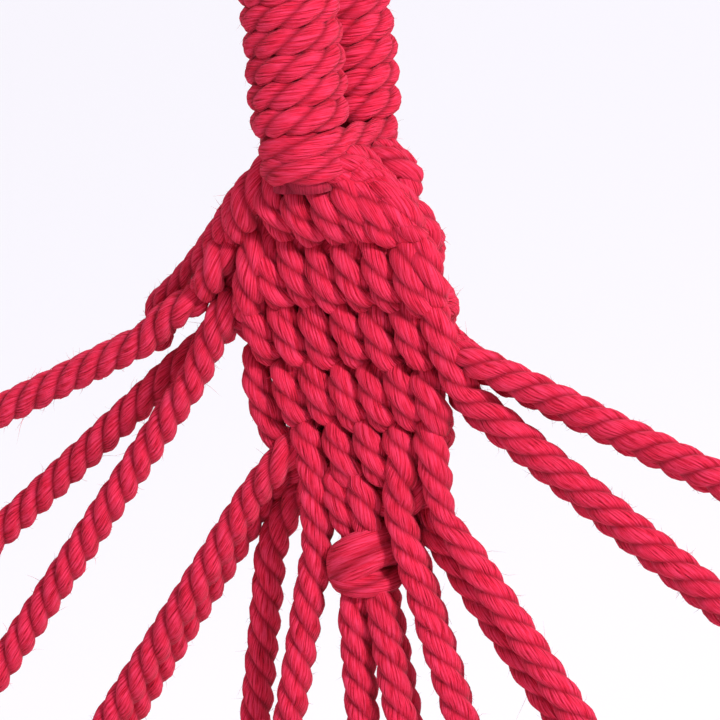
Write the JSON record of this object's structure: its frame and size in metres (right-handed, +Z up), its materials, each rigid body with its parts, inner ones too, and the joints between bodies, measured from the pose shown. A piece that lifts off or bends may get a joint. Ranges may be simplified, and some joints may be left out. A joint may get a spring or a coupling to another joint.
{
  "type": "hanging macrame planter",
  "caption": "Rope-served hanging eye with a woven neck whose cords fan out to a wooden bar and carry a long trough in slings.",
  "frame": {"origin": "where the hook bears, at the top of the eye's opening", "axes": "+X along the spreader bar and the trough, -Y out of the front of the woven neck, +Z up"},
  "size_m": [0.552, 0.1384, 0.4694],
  "materials": {
    "red_cotton_cord": "three-strand twisted cotton, dyed crimson, matt with a soft fuzz",
    "inner_cotton_cord": "the same dyed cotton cord, packed tight inside the eye",
    "oiled_beech": "turned beech rod, sanded and oiled",
    "stone_white_plastic": "moulded matt plastic, off-white with fine grey flecks"
  },
  "bodies": {
    "hanger": {"eye_core": "inner_cotton_cord", "eye_serving": "red_cotton_cord", "neck_seizing": "red_cotton_cord", "woven_mat": "red_cotton_cord", "centre_knot": "red_cotton_cord", "left_edge_cord_front": "red_cotton_cord", "left_edge_cord_back": "red_cotton_cord", "left_upper_cord_back": "red_cotton_cord", "left_upper_cord_front": "red_cotton_cord", "left_lower_cord_front": "red_cotton_cord", "left_lower_cord_back": "red_cotton_cord", "left_inner_cord_back": "red_cotton_cord", "left_inner_cord_front": "red_cotton_cord", "centre_left_cord_front": "red_cotton_cord", "centre_left_cord_back": "red_cotton_cord", "centre_right_cord_front": "red_cotton_cord", "centre_right_cord_back": "red_cotton_cord", "right_inner_cord_front": "red_cotton_cord", "right_inner_cord_back": "red_cotton_cord", "right_lower_cord_front": "red_cotton_cord", "right_lower_cord_back": "red_cotton_cord", "right_middle_cord_front": "red_cotton_cord", "right_middle_cord_back": "red_cotton_cord", "right_outer_cord_front": "red_cotton_cord", "right_outer_cord_back": "red_cotton_cord", "spreader_bar": "oiled_beech", "left_outer_hitch": "red_cotton_cord", "left_upper_hitch": "red_cotton_cord", "left_middle_hitch": "red_cotton_cord", "left_lower_hitch": "red_cotton_cord", "left_inner_hitch": "red_cotton_cord", "centre_left_hitch": "red_cotton_cord", "centre_right_hitch": "red_cotton_cord", "right_inner_hitch": "red_cotton_cord", "right_lower_hitch": "red_cotton_cord", "right_middle_hitch": "red_cotton_cord", "right_outer_hitch": "red_cotton_cord", "sling_1": "red_cotton_cord", "sling_2": "red_cotton_cord", "sling_3": "red_cotton_cord", "sling_4": "red_cotton_cord", "sling_5": "red_cotton_cord", "sling_6": "red_cotton_cord", "sling_7": "red_cotton_cord", "sling_8": "red_cotton_cord", "sling_9": "red_cotton_cord", "sling_10": "red_cotton_cord", "front_belt_cord": "red_cotton_cord", "back_belt_cord": "red_cotton_cord"},
    "trough": {"planter_trough": "stone_white_plastic"}
  },
  "joints": [
    {"name": "trough_slide", "type": "slide", "parent": "hanger", "child": "trough", "axis": [1, 0, 0], "range_m": [0, 0.51]}
  ]
}
